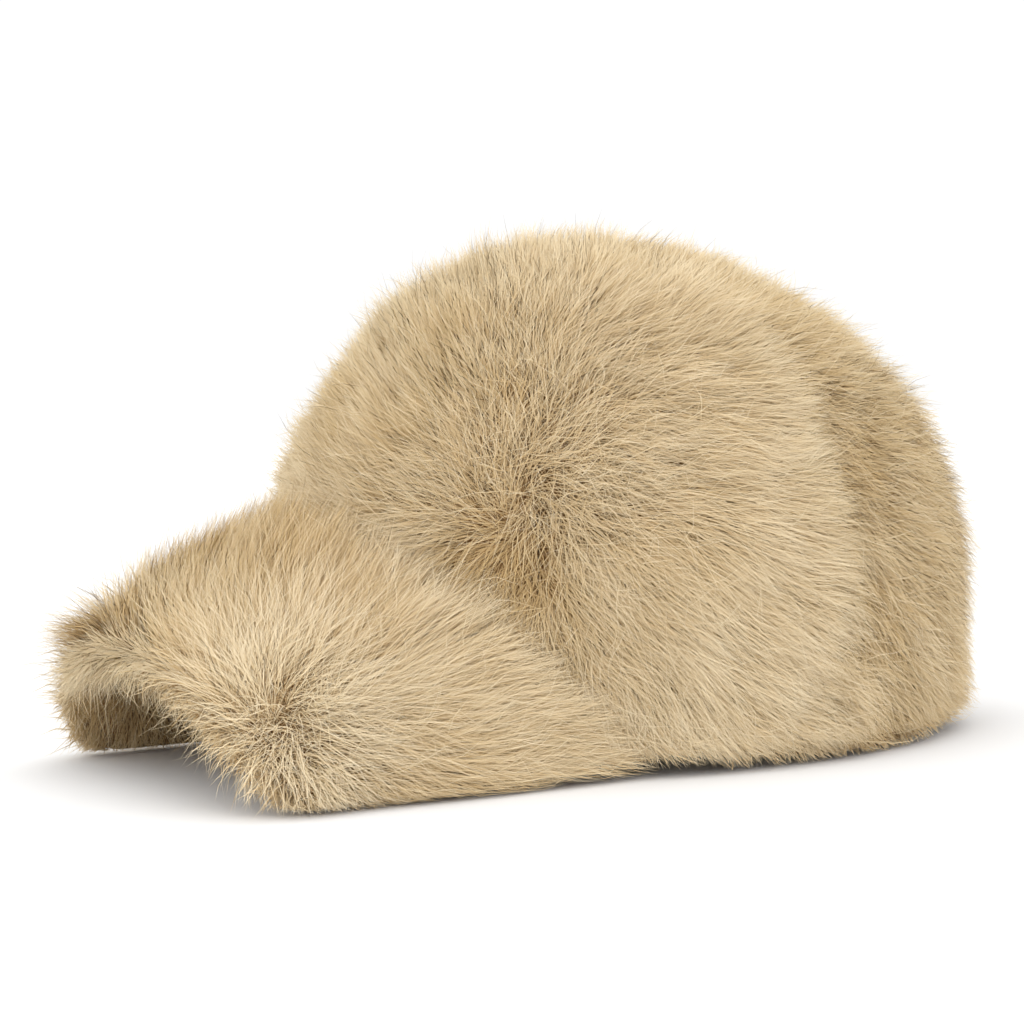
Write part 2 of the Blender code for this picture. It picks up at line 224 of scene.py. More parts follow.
# %% The marks on the crown
FRONT_MARKS = (
    # theta, s, comb (0 backwards round the left side, 90 up), rise, untidiness, coat in mm
    (-46, 0.30, 186, 36, 9, 12.5),
    (-40, 0.75, 190, 42, 10, 12.5),
    (-18, 0.33, 172, 58, 14, 11),
    (-10, 0.12, 172, 50, 14, 12.5),
    (-21, 0.60, 164, 64, 16, 16),
    (-22, 0.46, 170, 62, 14, 12),
    (-18, 0.80, 162, 66, 14, 13.5),
    (-5, 0.93, 140, 66, 12, 13),
    (11, 0.34, 146, 54, 10, 12.5),
    (10, 0.16, 140, 48, 12, 12.5),
    (22, 0.24, 128, 52, 12, 12.5),
    (20, 0.46, 124, 60, 11, 12.5),
    (33, 0.20, 155, 52, 26, 12.5),
    (35, 0.32, 119, 62, 26, 12.5),
    (35, 0.45, 112, 64, 20, 12.5),
    (30, 0.66, 100, 64, 12, 12.5),
    (45, 0.57, 84, 62, 30, 12.5),
    (46, 0.43, 98, 50, 50, 12.5),
    (46, 0.32, 104, 48, 62, 12.5),
    (44, 0.22, 137, 46, 56, 12),
    (39.5, 0.12, -152, 44, 26, 11.5),
    (44, 0.09, -119, 42, 24, 11.5),
    (48, 0.09, -95, 40, 22, 11.5),
    (32.5, 0.10, -172, 44, 22, 11.5),
)
SIDE_MARKS = (
    (55, 0.90, 70, 62, 10, 13),
    (80, 0.86, 58, 60, 9, 13),
    (98, 0.80, 30, 60, 12, 11),
    (56, 0.66, 40, 46, 26, 12),
    (73, 0.67, 12, 36, 8, 12.5),
    (91, 0.65, 2, 34, 7, 13),
    (99, 0.64, -4, 62, 14, 13),
    (61.5, 0.45, -20, 38, 22, 12),
    (60, 0.56, 4, 42, 22, 12),
    (80, 0.53, -8, 30, 6, 12.5),
    (91, 0.49, -10, 28, 6, 13),
    (98.5, 0.50, -14, 62, 14, 13.5),
    (52.5, 0.37, 30, 50, 56, 12.5),
    (54, 0.46, 40, 58, 40, 12),
    (69, 0.44, -24, 32, 8, 12),
    (86, 0.43, -20, 28, 5, 13),
    (98.5, 0.38, -26, 62, 14, 13.5),
    (53, 0.29, -58, 44, 50, 12),
    (58, 0.31, -50, 38, 24, 12),
    (65, 0.32, -40, 30, 8, 12),
    (80, 0.32, -36, 26, 6, 12.5),
    (91, 0.28, -36, 27, 6, 13),
    (98.5, 0.27, -40, 58, 14, 13),
    (52, 0.12, -74, 34, 20, 12.5),
    (55, 0.16, -58, 36, 18, 12.5),
    (61, 0.21, -58, 32, 14, 12.5),
    (71, 0.22, -44, 27, 7, 12.5),
    (84, 0.18, -38, 25, 6, 12.5),
    (97, 0.16, -48, 44, 14, 12.5),
    (66, 0.08, -66, 32, 14, 11.5),
    (78, 0.06, -46, 30, 12, 11.5),
    (92, 0.05, -52, 38, 16, 11),
)
BACK_MARKS = (
    (108, 0.84, 20, 50, 14, 11.5),
    (147, 0.77, -10, 46, 18, 11.5),
    (180, 0.88, -90, 48, 14, 11),
    (120, 0.63, -20, 42, 16, 12),
    (149, 0.61, -36, 46, 20, 12),
    (149, 0.46, -50, 48, 22, 14.5),
    (180, 0.60, -90, 44, 18, 14.5),
    (110, 0.45, -66, 44, 26, 10.5),
    (127, 0.45, -44, 46, 24, 11.5),
    (106, 0.30, -86, 42, 22, 10.5),
    (127, 0.28, -50, 44, 22, 10.5),
    (150, 0.30, -70, 46, 20, 12),
    (180, 0.30, -90, 44, 16, 12.5),
    (112, 0.18, -70, 38, 20, 10),
    (135, 0.12, -56, 40, 18, 9.5),
    (110, 0.07, -74, 36, 18, 9.5),
    (160, 0.08, -84, 40, 16, 10),
)
CROWN_MARKS = {"front": FRONT_MARKS, "side": SIDE_MARKS, "back": BACK_MARKS}

# %% The marks on the brim
BRIM_MARKS = (
    # u, q, comb (0 forwards, 90 down the near side, 180 back), rise, untidiness, coat in mm
    (0.00, 0.06, 180, 46, 12, 19.5),
    (0.00, 0.30, 180, 44, 12, 24),
    (0.00, 0.55, 180, 52, 12, 25.5),
    (0.00, 0.80, 180, 68, 14, 24.5),
    (0.12, 0.11, -168, 40, 10, 19),
    (0.20, 0.39, -158, 40, 10, 22),
    (0.24, 0.03, -158, 44, 8, 14),
    (0.36, 0.35, -146, 34, 8, 16.5),
    (0.37, 0.02, -156, 44, 10, 12),
    (0.48, 0.12, -159, 32, 7, 14),
    (0.54, 0.43, -158, 29, 7, 16),
    (0.55, 0.02, -166, 44, 12, 11),
    (0.65, 0.03, -177, 42, 12, 11),
    (0.71, 0.55, 177, 28, 7, 16),
    (0.72, 0.29, 180, 27, 6, 15.5),
    (0.77, 0.08, 178, 34, 9, 12),
    (0.82, 0.66, 168, 30, 10, 15.5),
    (0.92, 0.53, 171, 28, 8, 15),
    (0.91, 0.25, 174, 28, 8, 15),
    (0.87, 0.03, 171, 34, 12, 11),
    (0.20, 0.66, -150, 50, 14, 22.5),
    (0.37, 0.58, -126, 44, 16, 16.5),
    (0.41, 0.74, -108, 46, 24, 17),
    (0.53, 0.61, -155, 40, 16, 16),
    (0.47, 0.76, -118, 38, 28, 16),
    (0.53, 0.73, -162, 36, 46, 16),
    (0.61, 0.70, 170, 44, 20, 15.5),
    (0.69, 0.74, 146, 44, 24, 14.5),
    (0.82, 0.80, 143, 38, 20, 12.5),
    (0.96, 0.68, 165, 30, 12, 13.5),
    (0.72, 0.86, 112, 36, 40, 13),
    (0.60, 0.84, 90, 32, 84, 17),
    (0.49, 0.87, -86, 34, 56, 16),
    (0.09, 0.92, -150, 62, 18, 19.5),
    (0.29, 0.98, -82, 38, 22, 15.5),
    (0.43, 0.98, -76, 38, 24, 13.5),
    (0.52, 0.98, -58, 42, 30, 11.5),
    (0.58, 0.97, -20, 34, 50, 10.5),
    (0.65, 0.97, 34, 34, 50, 10),
    (0.73, 0.95, 70, 36, 36, 9.5),
    (0.84, 0.92, 100, 40, 26, 9),
    (0.94, 0.93, 104, 36, 22, 8.5),
    (-0.20, 0.92, -40, 56, 26, 18.5),
    (-0.34, 0.97, -24, 52, 28, 13),
    (-0.48, 0.97, -20, 48, 28, 8),
    (-0.64, 0.96, -10, 46, 28, 6.5),
    (-0.82, 0.95, -10, 44, 26, 6.5),
    (-0.94, 0.93, -10, 40, 22, 7),
    (-0.32, 0.80, -64, 50, 26, 17.5),
    (-0.55, 0.80, -56, 46, 26, 13),
    (-0.84, 0.80, -64, 40, 22, 10.5),
)
LIP = 0.73

# %% [markdown]
# ## Partings and painted shade
#
# In a few places the coat opens and the brown roots show. There the hairs lean away from one
# point and are shorter close to it, and they are darker: partly by the roots' own brown, partly
# by painted shade in the hollow. The same rows tint a place that isn't open: wide ones paint
# shade that makes the coat a little darker or, with a number below zero, paint light that makes
# it paler. Two tables hold only painted light: the top of the far lip, which has no mirror
# image, and the underside along the lip.

# %% The places where the coat opens, and painted shade and light
# Last column: the roots' brown and painted shade; below zero, painted light.
CROWN_PARTINGS_AND_PAINTED_SHADING = (
    # theta, s, radius in mm, lean, share of the coat lost, darker by
    (46.5, 0.41, 4.5, 0.25, 0.40, 0.60),
    (45, 0.32, 26, 0, 0.05, 0.06),
    (22, 0.35, 34, 0, 0.00, 0.18),
    (80, 0.13, 22, 0, 0.00, -0.15),
    (66, 0.12, 12, 0, 0.00, -0.12),
    (49.5, 0.18, 5.5, 0.35, 0.55, 0.80),
    (47, 0.13, 7, 0.3, 0.50, 0.80),
    (40, 0.11, 4.5, 0.4, 0.40, 0.60),
    (52.5, 0.14, 8, 0.3, 0.20, 0.30),
    (57, 0.10, 12, 0, 0.05, 0.12),
    (104, 0.40, 8, 0.5, 0.20, 0.20),
    (112, 0.44, 8, 0.5, 0.20, 0.20),
    (107, 0.24, 8, 0.5, 0.20, 0.20),
)
BRIM_PARTINGS_AND_PAINTED_SHADING = (
    # u, q, radius in mm, lean, share of the coat lost, darker by
    (0.68, 0.09, 8, 0.6, 0.30, 0.30),
    (0.90, 0.03, 9, 0.6, 0.30, 0.35),
    (0.72, 0.76, 5, 0, 0.10, 0.15),
    (0.05, 0.55, 40, 0, 0.00, 0.28),
    (0.60, 0.86, 18, 0, -0.20, -0.60),
    (0.72, 0.92, 14, 0, 0.00, -0.15),
)
# Painted light: the top of the far lip, whose hairs turn away from the lights, is made paler.
FAR_LIP_PAINTED_LIGHT = ((-0.86, 0.88, 26, 0, 0, -0.60),)
# Painted light along the underside of the lip, where light comes in under the brim.
UNDER_LIP_PAINTED_LIGHT = ((0.92, 1, 20, 0, 0, -0.45),)

# %% [markdown]
# ## From marks to a direction field
#
# A mark's angle becomes an arrow in the skin, between two axes at a right angle. Weighted means of
# arrows give a field that turns smoothly, and each is laid back into the skin.

# %% Arrows in the skin
def crown_axes(normal):
    """The horizontal direction round the crown (up crossed with the normal), and the one that
    climbs in the skin (the normal crossed with the horizontal)."""
    level = unit(np.cross(np.array([0.0, 0.0, 1.0]), normal))
    return level, np.cross(normal, level)


def brim_axes(normal):
    """Straight forwards laid into the skin, and the direction down the side at a right angle."""
    forward = np.array([0.0, -1.0, 0.0])
    ahead = unit(forward - normal * dot(normal, forward))
    return ahead, np.cross(normal, ahead)


def arrow(axes, degrees):
    """First axis times the cosine plus second axis times the sine."""
    angle = np.radians(degrees)[..., None]
    return axes[0] * np.cos(angle) + axes[1] * np.sin(angle)


def into_skin(vectors, normal):
    """A vector without its part along the normal, made one long."""
    return unit(vectors - normal * dot(vectors, normal))


MIRROR = np.array([-1.0, 1.0, 1.0])


def joined(first, second):
    """Two sets of marks as one: their places, arrows and values, each behind the other."""
    return [np.concatenate(pair) for pair in zip(first, second)]


def mirrored(points, arrows, values):
    """The marks and their mirror images on the wearer's right."""
    return joined((points, arrows, values), (points * MIRROR, arrows * MIRROR, values))


def crown_marks(group):
    """Places, arrows and values (rise, untidiness, coat) of one group of marks. The front panel
    is combed across in one sweep, and the other groups are mirrored."""
    table = np.array(CROWN_MARKS[group])
    place = (np.radians(table[:, 0]), table[:, 1])
    marks = (crown(*place), arrow(crown_axes(crown_normal(*place)), table[:, 2]), table[:, 3:])
    return marks if group == "front" else mirrored(*marks)


def marks_for(group):
    """The marks that a panel reads. The front and side panels are brushed together after sewing,
    so both read both groups, while the back panels' fur starts afresh at its seam."""
    if group == "back":
        return crown_marks("back")
    return joined(crown_marks("front"), crown_marks("side"))


def brim_rows(rows):
    """Places, arrows and values of some rows of marks on the brim."""
    table = np.array(rows)
    place = (table[:, 0], table[:, 1])
    return brim(*place), arrow(brim_axes(brim_normal(*place)), table[:, 2]), table[:, 3:]


def brim_marks():
    """All marks on the brim. The body's are mirrored, and the lip's two ends have their own."""
    body = mirrored(*brim_rows([row for row in BRIM_MARKS if row[1] < LIP]))
    lip = brim_rows([row for row in BRIM_MARKS if row[1] >= LIP])
    return joined(body, lip)


MARK_REACH = 9.0


def read_marks(marks, points, normal):
    """Direction and values at points, each mark weighing one over its squared distance squared."""
    places, arrows, values = marks
    gap = np.sum((points[:, None, :] - places[None, :, :]) ** 2, axis=-1) + MARK_REACH ** 2
    weight = 1.0 / gap ** 2
    weight /= weight.sum(axis=1, keepdims=True)
    return into_skin(weight @ arrows, normal), weight @ values


print("Crown marks:", {group: len(crown_marks(group)[0]) for group in CROWN_MARKS})
print("Brim marks:", len(brim_marks()[0]))

# %% [markdown]
# ## Soft waves
#
# A combed coat still wanders. A sum of a few sine waves in random directions makes a smooth field
# of bumps in space.

# %% Waves in space
def waves(points, size, seed, count=10):
    """Smooth noise of about -1 to 1: the mean of sines along random directions, with a wavelength
    near size, times the square root of their count."""
    rng = np.random.default_rng(seed)
    direction = unit(rng.normal(size=(count, 3)))
    length = size * rng.uniform(0.7, 1.5, count)
    phase = rng.uniform(0.0, 2.0 * math.pi, count)
    angle = points @ (direction / length[:, None]).T * 2.0 * math.pi + phase
    return np.sin(angle).sum(axis=-1) / math.sqrt(count)


def turned(arrows, normal, degrees):
    """Arrows turned in the skin: cosine times the arrow plus sine times its right angle."""
    angle = np.radians(degrees)[:, None]
    return arrows * np.cos(angle) + np.cross(normal, arrows) * np.sin(angle)


# %% [markdown]
# ## Where hairs stand
#
# Equal steps of the two parameters would crowd the hairs at the top of the crown. So random pairs
# are drawn, and each is kept with a chance in proportion to the area that it stands for.

# %% Scatter by area
def scatter(surface, low, high, count, rng):
    """Pairs of parameters spread evenly over the surface's area between two corners."""
    kept_a, kept_b, found = [], [], 0
    while found < count:
        a = rng.uniform(low[0], high[0], count * 2)
        b = rng.uniform(low[1], high[1], count * 2)
        along_a, along_b = differences(surface, a, b)
        area = np.linalg.norm(np.cross(along_a, along_b), axis=-1)
        keep = rng.uniform(0.0, np.quantile(area, 0.995), count * 2) < area
        kept_a.append(a[keep])
        kept_b.append(b[keep])
        found += int(keep.sum())
    return np.concatenate(kept_a)[:count], np.concatenate(kept_b)[:count]


# %% [markdown]
# ## How a hair bends
#
# A hair leaves the skin steeply and lies flatter towards its tip, and it curls a little sideways.
# Each of its two or three steps climbs along the normal by the sine of its angle and runs along
# the comb by the cosine. Neighbours stick together, so every hair is pulled towards the leader of
# its tuft, the more the nearer to the tip. Small tufts make the streaks, large ones the locks. At
# last, hairs that would pass through the floor or stand too far out are shortened.

# %% Curves and tufts
BEND = 24.0
FLATTEST, STEEPEST = 4.0, 96.0
FLOOR_SOFTNESS = 2.0
PROUD = 7.0
LEAST_AT_FLOOR, LEAST_AT_BOX = 0.3, 0.2
SHORT_WAY = 0.1


def hair_curves(root, normal, comb, rise, length, curl, steps):
    """Points of each hair, root first. Along the hair the angle from the skin falls from
    rise + BEND to rise - BEND, and the way it lies turns in the skin by its curl."""
    share = (np.arange(steps) + 0.5) / steps - 0.5
    climb = np.clip(rise[:, None] - 2.0 * BEND * share, FLATTEST, STEEPEST)
    climb = np.radians(climb)[..., None]
    veer = np.radians(curl[:, None] * share)[..., None]
    lie = comb[:, None] * np.cos(veer) + np.cross(normal, comb)[:, None] * np.sin(veer)
    step = (normal[:, None] * np.sin(climb) + lie * np.cos(climb)) * (length / steps)[:, None, None]
    start = root[:, None]
    return np.concatenate([start, start + np.cumsum(step, axis=1)], axis=1)


def nearest(points, leaders, chunk=4000):
    """Index of the nearest leader for every point, from squared distances worked out in chunks."""
    found = []
    square = np.sum(leaders ** 2, axis=1)
    for first in range(0, len(points), chunk):
        part = points[first:first + chunk]
        found.append(np.argmin(square - 2.0 * part @ leaders.T, axis=1))
    return np.concatenate(found)


def gather(curves, root, count, strength, power):
    """Pull each hair towards the leader of its tuft by strength times share-of-length to a power.
    The first hairs are the leaders. Returns the curves and each hair's leader."""
    leader = nearest(root, root[:count])
    share = strength * np.linspace(0.0, 1.0, curves.shape[1]) ** power
    return curves + (curves[leader] - curves) * share[None, :, None], leader


def clear_floor(curves, low):
    """Shorten hairs that would pass below a height, which each hair has of its own."""
    root, tip = curves[:, 0, 2], curves[:, -1, 2]
    share = np.clip((root - low) / np.maximum(root - tip, SHORT_WAY), LEAST_AT_FLOOR, 1.0)
    share = np.where(tip < low, share, 1.0)[:, None, None]
    return curves[:, :1] + (curves - curves[:, :1]) * share


def keep_inside(curves, own):
    """Shorten hairs that would leave the CAD box by more than fur may stand proud of it: the room
    on the side that each hair goes to, over the way it goes there, is the share that is kept. Each
    hair's depth lies between half of PROUD and all of it, so that no flat cut shows."""
    proud = (PROUD * (0.5 + 0.5 * own))[:, None, None]
    low, high = (np.array(corner) / MM - AXIS_FOOT for corner in cad_box)
    root, travel = curves[:, :1], curves - curves[:, :1]
    room = np.where(travel > 0.0, high + proud - root, root - low + proud)
    share = np.clip(room / np.maximum(np.abs(travel), SHORT_WAY), LEAST_AT_BOX, 1.0)
    return root + travel * share.min(axis=(1, 2))[:, None, None]


def floor_soft(points):
    """Bend what comes near the floor: below the soft layer, height falls off exponentially."""
    z = points[..., 2]
    low = FLOOR_SOFTNESS * np.exp(np.minimum(z, FLOOR_SOFTNESS) / FLOOR_SOFTNESS - 1.0)
    soft = points.copy()
    soft[..., 2] = np.where(z < FLOOR_SOFTNESS, low, z)
    return soft


# %% [markdown]
# ## From curves to ribbons
#
# Hair curves would be the usual tool, but a part of a library is exchanged as a mesh. Each hair
# is a flat ribbon, about a third of a millimetre wide at most, that tapers to a point: a pair of
# points for each step and one at the tip. Its shading normal is the skin's, with some of its part
# along the hair taken out and a little of the ribbon's facing added, so a flat ribbon takes the
# light as a round hair does. Its upward part is made smaller, so that hairs on steep sides aren't
# much darker than those on top. A UV map carries two numbers: across, the hair's own tint, and up,
# the way from root to tip.

# %% Ribbons
TAPER = ((0.0, 0.35, 0.7), (0.8, 1.0, 0.7))  # share of the length, share of the width
FACING = 0.6
ROUNDNESS = 0.4
FLATNESS = 0.4
LEVELLING = 0.55
TINT_FIRST, TINT_SPAN = 0.01, 0.98
UV_HALF_WIDTH = 0.006


def ribbons(curves, normal, tint, width, rng):
    """Points, triangles, shading normals and UV coordinates of all hairs. A ribbon's side is the
    hair's direction crossed with a facing direction, the skin's normal plus a random part."""
    count, steps = curves.shape[0], curves.shape[1] - 1
    share = np.linspace(0.0, 1.0, steps + 1)
    direction = unit(np.gradient(curves, axis=1))
    facing = unit(normal + FACING * unit(rng.normal(size=(count, 3))))[:, None]
    side = unit(np.cross(direction, facing))
    half = side[:, :steps] * (0.5 * width[:, None] * np.interp(share[:-1], *TAPER))[..., None]
    pairs = np.stack([curves[:, :steps] - half, curves[:, :steps] + half], axis=2)
    points = np.concatenate([pairs.reshape(count, 2 * steps, 3), curves[:, steps:]], axis=1)
    along = dot(normal[:, None], direction) * direction
    shading = unit(unit(normal[:, None] - ROUNDNESS * along) + FLATNESS * facing)
    shading = unit(shading * np.array([1.0, 1.0, LEVELLING]))
    paired = np.repeat(shading[:, :steps], 2, axis=1)
    per_point = np.concatenate([paired, shading[:, steps:]], axis=1)
    edges = np.append(np.tile([-UV_HALF_WIDTH, UV_HALF_WIDTH], steps), 0.0)
    across = tint[:, None] * TINT_SPAN + TINT_FIRST + edges
    up = np.tile(np.append(np.repeat(share[:-1], 2), 1.0), (count, 1))
    pattern = [(2 * i, 2 * i + 1, 2 * i + 3) for i in range(steps - 1)]
    pattern += [(2 * i, 2 * i + 3, 2 * i + 2) for i in range(steps - 1)]
    pattern += [(2 * steps - 2, 2 * steps - 1, 2 * steps)]
    faces = np.arange(count)[:, None, None] * (2 * steps + 1) + np.array(pattern)
    flat = (floor_soft(points), faces, per_point, np.stack([across, up], axis=-1))
    return [values.reshape(-1, values.shape[-1]) for values in flat]


def fur_mesh(name, sets):
    """One mesh from several sets of ribbons, the triangles' numbers shifted behind one another."""
    points, faces, shading, uv = [list(values) for values in zip(*sets)]
    first = np.cumsum([0] + [len(rows) for rows in points])
    faces = np.concatenate([rows + shift for rows, shift in zip(faces, first)])
    mesh = triangle_mesh(name, np.concatenate(points), faces)
    layer = mesh.uv_layers.new(name="OFBake")
    layer.data.foreach_set("uv", np.concatenate(uv)[faces.ravel()].astype(np.float32).ravel())
    mesh.shade_smooth()
    mesh.normals_split_custom_set_from_vertices(np.concatenate(shading).tolist())
    return mesh


def triangle_mesh(name, points, faces):
    """A mesh from points in millimetres round the crown's axis and rows of three indices."""
    place = (points + AXIS_FOOT) * MM
    mesh = bpy.data.meshes.new(name)
    mesh.vertices.add(len(place))
    mesh.vertices.foreach_set("co", place.astype(np.float32).ravel())
    mesh.loops.add(faces.size)
    mesh.loops.foreach_set("vertex_index", faces.astype(np.int32).ravel())
    mesh.polygons.add(len(faces))
    mesh.polygons.foreach_set("loop_start", np.arange(0, faces.size, 3, dtype=np.int32))
    mesh.update(calc_edges=True)
    mesh.validate()
    return mesh


triangles = {}  # of each piece


def into_scene(name, data):
    """A new object of the scene."""
    item = bpy.data.objects.new(name, data)
    bpy.context.scene.collection.objects.link(item)
    return item


def add_piece(name, mesh, material, node):
    """Put a mesh into the scene as a piece that rides on the cap and stands for a CAD node."""
    triangles[name] = len(mesh.polygons)
    piece = into_scene(name, mesh)
    mesh.materials.append(material)
    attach(piece, "root")
    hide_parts(node)
    return piece


# %% [markdown]
# ## Materials
#
# A plush hair is brown near its root and pale at its tip, and no two have the same tint. The brown
# at the root is partly the plush's own colour and partly painted shade deep in the coat. The
# colour is read from the ribbon's own UV map: a ramp along the hair for the darkest hairs, one for
# the palest, and the tint mixes the two. It holds from every side, because it is painted on the
# hair. The backing is a fine knit on the inside, and a dense, dark underfur on the outside, whose
# dark brown is partly painted shade under the hairs.

# %% Node trees
def srgb(red, green, blue):
    """An sRGB colour of 0 to 255 as a linear one: ((c + 0.055) / 1.055) to the power of 2.4."""
    c = np.array([red, green, blue]) / 255.0
    linear = np.where(c <= 0.04045, c / 12.92, ((c + 0.055) / 1.055) ** 2.4)
    return (*linear.tolist(), 1.0)


def new_material(name, roughness):
    """A material with its shader, node tree and a quiet gloss."""
    material = bpy.data.materials.new(name)
    material.use_nodes = True
    tree = material.node_tree
    shader = tree.nodes["Principled BSDF"]
    shader.inputs["Roughness"].default_value = roughness
    shader.inputs["Specular IOR Level"].default_value = 0.25
    return material, tree, shader


def ramp(tree, factor, stops):
    """A colour ramp with stops of (place, colour)."""
    node = tree.nodes.new("ShaderNodeValToRGB")
    elements = node.color_ramp.elements
    for end in (0, -1):
        elements[end].position, elements[end].color = stops[end]
    for place, colour in stops[1:-1]:
        elements.new(place).color = colour
    tree.links.new(factor, node.inputs["Fac"])
    return node.outputs["Color"]


def mix(tree, factor, first, second):
    """Blend two colours by a factor."""
    node = tree.nodes.new("ShaderNodeMix")
    node.data_type = "RGBA"
    tree.links.new(factor, node.inputs[0])
    tree.links.new(first, node.inputs[6])
    tree.links.new(second, node.inputs[7])
    return node.outputs[2]


# %% Fur material
def fur_material(name, dark_stops, light_stops):
    """Hair colour by its UV map: across is the tint between the dark and the light ramp, up is the
    way from root to tip."""
    material, tree, shader = new_material(name, 0.62)
    uv = tree.nodes.new("ShaderNodeUVMap")
    uv.uv_map = "OFBake"
    split = tree.nodes.new("ShaderNodeSeparateXYZ")
    tree.links.new(uv.outputs["UV"], split.inputs[0])
    dark = ramp(tree, split.outputs["Y"], dark_stops)
    light = ramp(tree, split.outputs["Y"], light_stops)
    colour = mix(tree, split.outputs["X"], dark, light)
    tree.links.new(colour, shader.inputs["Base Color"])
    return material


def stops(rows):
    """Stops of a ramp from rows of a place and the sRGB colour's three numbers."""
    return [(place, srgb(*colour)) for place, *colour in rows]


# Both ramps darken towards the root: partly the plush's own brown, partly painted shade deep in the
# coat.
DARKEST_HAIR = (
    # place from root to tip, red, green, blue
    (0.0, 174, 137, 89),
    (0.4, 191, 158, 106),
    (0.8, 205, 176, 125),
    (1.0, 216, 189, 140),
)
PALEST_HAIR = (
    (0.0, 201, 167, 120),
    (0.35, 224, 201, 158),
    (0.75, 238, 221, 187),
    (1.0, 247, 236, 210),
)
FUR = fur_material("plush_fur", stops(DARKEST_HAIR), stops(PALEST_HAIR))


# %% Backing material
KNIT = ((0.0, 176, 158, 128), (1.0, 226, 213, 188))
# The underfur's dark brown is partly its own colour and partly painted shade under the long hairs.
UNDERFUR_AND_SHADE_TINTS = ((0.35, 122, 92, 58), (0.65, 168, 134, 90))


def backing_material(name):
    """Knit inside, underfur outside, chosen by the attribute inside. The knit's loops are waves of
    the flat cloth's own coordinates in millimetres."""
    material, tree, shader = new_material(name, 0.85)
    node, link = tree.nodes.new, tree.links.new
    inside = node("ShaderNodeAttribute")
    inside.attribute_name = "inside"
    uv = node("ShaderNodeUVMap")
    uv.uv_map = "cloth"
    loops = node("ShaderNodeTexWave")
    loops.wave_type = "BANDS"
    loops.bands_direction = "X"
    loops.inputs["Scale"].default_value = 180.0
    loops.inputs["Distortion"].default_value = 1.2
    loops.inputs["Detail"].default_value = 1.0
    loops.inputs["Detail Scale"].default_value = 6.0
    link(uv.outputs["UV"], loops.inputs["Vector"])
    knit = ramp(tree, loops.outputs["Fac"], stops(KNIT))
    place = node("ShaderNodeTexCoord")
    speckle = node("ShaderNodeTexNoise")
    speckle.inputs["Scale"].default_value = 900.0
    speckle.inputs["Detail"].default_value = 3.0
    link(place.outputs["Object"], speckle.inputs["Vector"])
    under = ramp(tree, speckle.outputs["Fac"], stops(UNDERFUR_AND_SHADE_TINTS))
    link(mix(tree, inside.outputs["Fac"], under, knit), shader.inputs["Base Color"])
    bump = node("ShaderNodeBump")
    bump.inputs["Strength"].default_value = 0.6
    bump.inputs["Distance"].default_value = 0.0004
    link(loops.outputs["Fac"], bump.inputs["Height"])
    link(bump.outputs["Normal"], shader.inputs["Normal"])
    return material


BACKING_CLOTH = backing_material("plush_backing")

# %% [markdown]
# ## The backing
#
# Each panel's backing is a curved strip of knit two millimetres thick: one grid over the two
# parameters for the inside, one further out for the outside, and walls round the four edges. The
# outside carries the underfur as a low, lumpy relief, so that no bare cloth shows between the
# long hairs.

# %% Closed shells from two grids
UNDERFUR = 2.6
UNDERFUR_EDGE = 0.06
TOP_SHARE = 0.9975
PANEL_HEIGHT = 150.0


def shell(name, outer, inner, flat, knit=1.0):
    """A closed mesh from an outer and an inner grid of the same shape, whose rows run along the
    second parameter. Walls join their four edges. flat gives the cloth coordinates in metres, and
    knit says whether the inner side is bare knit (1) or underfur (0)."""
    rows, columns = outer.shape[:2]
    index = np.arange(rows * columns).reshape(rows, columns)
    low, right = index[:-1, :-1], index[:-1, 1:]
    high, corner = index[1:, :-1], index[1:, 1:]
    front = np.concatenate([np.stack([low, right, corner], -1).reshape(-1, 3),
                            np.stack([low, corner, high], -1).reshape(-1, 3)])
    back = front[:, ::-1] + rows * columns
    ring = np.concatenate([index[0, :], index[1:, -1], index[-1, -2::-1], index[-2::-1, 0]])
    a, b = ring[:-1], ring[1:]
    far = rows * columns
    walls = np.concatenate([np.stack([b, a, a + far], -1), np.stack([b, a + far, b + far], -1)])
    faces = np.concatenate([front, back, walls])
    points = np.concatenate([outer.reshape(-1, 3), inner.reshape(-1, 3)])
    mesh = triangle_mesh(name, points, faces)
    mesh.shade_smooth()
    inside = np.repeat([0.0, knit], far).astype(np.float32)
    mesh.attributes.new("inside", "FLOAT", "POINT").data.foreach_set("value", inside)
    uv = np.tile(flat.reshape(-1, 2), (2, 1))[faces.ravel()]
    mesh.uv_layers.new(name="cloth").data.foreach_set("uv", uv.astype(np.float32).ravel())
    return mesh


def panel_backing(name, first, last, columns=36, rows=44):
    """A panel's backing between two angles, with a gap of half a seam at either side."""
    rises, turns = np.linspace(0.0, TOP_SHARE, rows), np.linspace(0.0, 1.0, columns)
    s, share = np.meshgrid(rises, turns, indexing="ij")
    radius = np.maximum(np.cos(math.pi / 2.0 * np.clip(s - 0.12, 0.0, 1.0) / 0.88), 0.05)
    inset = SEAM_GAP / 2.0 / (CROWN_HALF_WIDTH * radius) / (last - first)
    theta = first + (last - first) * np.clip(share, inset, 1.0 - inset)
    inner = crown(theta, s, 0.0)
    skin = crown(theta, s)
    edge = smooth(np.minimum.reduce([share, 1.0 - share, s, TOP_SHARE - s]) / UNDERFUR_EDGE)
    relief = UNDERFUR * edge * (0.7 + 0.3 * waves(skin, 7.0, 5))
    outer = floor_soft(skin + crown_normal(theta, s) * relief[..., None])
    middle = (first + last) / 2.0
    across = (theta - middle) * CROWN_HALF_WIDTH * radius
    flat = np.stack([across, s * PANEL_HEIGHT], axis=-1) * MM
    return shell(name, outer, inner, flat)


for name, first, last, *_ in PANELS:
    mesh = panel_backing(name + "_backing", math.radians(first), math.radians(last))
    add_piece(name + "_backing", mesh, BACKING_CLOTH, name)
print("Backings:", sum(triangles.values()), "triangles")


